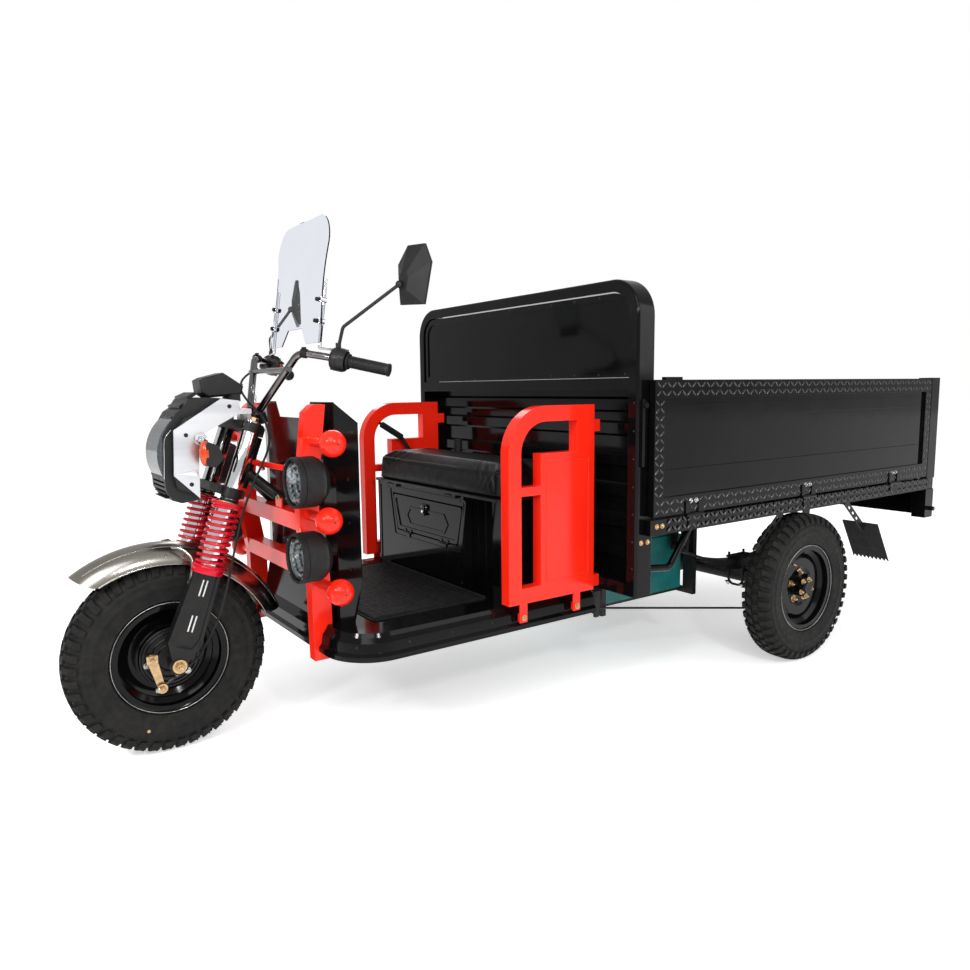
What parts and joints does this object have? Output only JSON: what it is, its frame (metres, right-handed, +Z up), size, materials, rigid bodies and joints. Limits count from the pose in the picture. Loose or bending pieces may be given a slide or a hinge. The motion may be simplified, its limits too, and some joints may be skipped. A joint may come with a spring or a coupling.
{
  "type": "electric cargo tricycle",
  "caption": "Open-cab cargo tricycle with a raked sprung fork, bench seat, red tube guards and a drop-side load box over a leaf-sprung live rear axle.",
  "frame": {"origin": "on the ground, under the middle of the bounding box", "axes": "+X forward, +Y to the rider's left, +Z up"},
  "size_m": [3.524, 1.484, 1.6018],
  "materials": {
    "gloss_black_paint": "gloss",
    "black_steel": "satin",
    "red_paint": "gloss",
    "crimson_spring": "gloss",
    "chrome": "polished",
    "stainless": "polished",
    "plate_aluminium": "brushed",
    "black_plastic": "matte",
    "gloss_plastic": "gloss",
    "tyre_rubber": "matte",
    "rubber": "matte",
    "vinyl": "satin",
    "clear_lens": "clear",
    "clear_screen": "clear",
    "teal_plastic": "satin",
    "red_lens": "gloss",
    "orange_lens": "gloss",
    "cast_iron": "matte",
    "gold_steel": "satin"
  },
  "bodies": {
    "chassis": {"backrest_socket": "cast_iron", "battery_pack": "teal_plastic", "brake_linkage": "black_steel", "chassis_frame": "black_steel", "drive_motor": "black_steel", "floor_deck": "gloss_black_paint", "floor_mat": "rubber", "front_guard": "red_paint", "front_wall": "gloss_black_paint", "guard_lamp_lenses": "clear_lens", "guard_lamps": "black_plastic", "handbrake_lever": "rubber", "headboard_frame": "gloss_black_paint", "headboard_panel": "black_steel", "leaf_springs": "cast_iron", "leg_shield": "gloss_plastic", "load_floor": "black_steel", "mudflap_straps": "black_steel", "mudflaps": "rubber", "rear_axle": "cast_iron", "rear_frame": "gloss_black_paint", "rear_lamps": "red_lens", "seat_box": "gloss_black_paint", "side_guard_left": "red_paint", "side_guard_right": "red_paint"},
    "steering": {"steering_yokes": "black_steel", "fork_tubes": "chrome", "fork_springs": "crimson_spring", "fork_legs": "black_steel", "front_axle": "gold_steel", "front_brake": "cast_iron", "front_mudguard": "stainless", "headlamp_housing": "black_plastic", "headlamp_lens": "clear_lens", "headlamp_plates": "plate_aluminium", "front_signals": "orange_lens", "instrument_pod": "black_plastic", "handlebar": "chrome", "bar_controls": "black_plastic", "mirrors": "black_plastic", "windscreen": "clear_screen", "screen_brackets": "chrome", "control_cables": "rubber"},
    "front_wheel": {"front_tyre": "tyre_rubber", "front_rim": "gloss_black_paint"},
    "rear_wheel_left": {"rear_tyre_left": "tyre_rubber", "rear_rim_left": "gloss_black_paint"},
    "rear_wheel_right": {"rear_tyre_right": "tyre_rubber", "rear_rim_right": "gloss_black_paint"},
    "side_board_left": {"side_board_left": "gloss_black_paint"},
    "side_board_right": {"side_board_right": "gloss_black_paint"},
    "tailgate": {"tailgate": "gloss_black_paint"},
    "seat_lid": {"seat_pan": "black_steel", "seat_cushion": "vinyl"},
    "toolbox_door": {"toolbox_door": "gloss_black_paint"}
  },
  "joints": [
    {"name": "steering", "type": "hinge", "parent": "chassis", "child": "steering", "pos_m": [1.2128, 0, 0.85], "axis": [-0.3469, 0, 0.9379], "range_deg": [-38, 38]},
    {"name": "front_wheel_spin", "type": "hinge", "parent": "steering", "child": "front_wheel", "pos_m": [1.474, 0, 0.288], "axis": [0, 1, 0], "continuous": true},
    {"name": "rear_wheel_left_spin", "type": "hinge", "parent": "chassis", "child": "rear_wheel_left", "pos_m": [-0.72, 0.68, 0.288], "axis": [0, 1, 0], "continuous": true},
    {"name": "rear_wheel_right_spin", "type": "hinge", "parent": "chassis", "child": "rear_wheel_right", "pos_m": [-0.72, -0.68, 0.288], "axis": [0, 1, 0], "continuous": true},
    {"name": "side_board_left_hinge", "type": "hinge", "parent": "chassis", "child": "side_board_left", "pos_m": [-0.72, 0.707, 0.644], "axis": [-1, 0, 0], "range_deg": [0, 150]},
    {"name": "side_board_right_hinge", "type": "hinge", "parent": "chassis", "child": "side_board_right", "pos_m": [-0.72, -0.707, 0.644], "axis": [1, 0, 0], "range_deg": [0, 150]},
    {"name": "tailgate_hinge", "type": "hinge", "parent": "chassis", "child": "tailgate", "pos_m": [-1.755, 0, 0.644], "axis": [0, -1, 0], "range_deg": [0, 165]},
    {"name": "seat_lid_hinge", "type": "hinge", "parent": "chassis", "child": "seat_lid", "pos_m": [0.539, 0, 0.699], "axis": [0, 1, 0], "range_deg": [0, 75]},
    {"name": "toolbox_door_hinge", "type": "hinge", "parent": "chassis", "child": "toolbox_door", "pos_m": [0.53605, 0, 0.522], "axis": [0, 1, 0], "range_deg": [0, 150]}
  ]
}
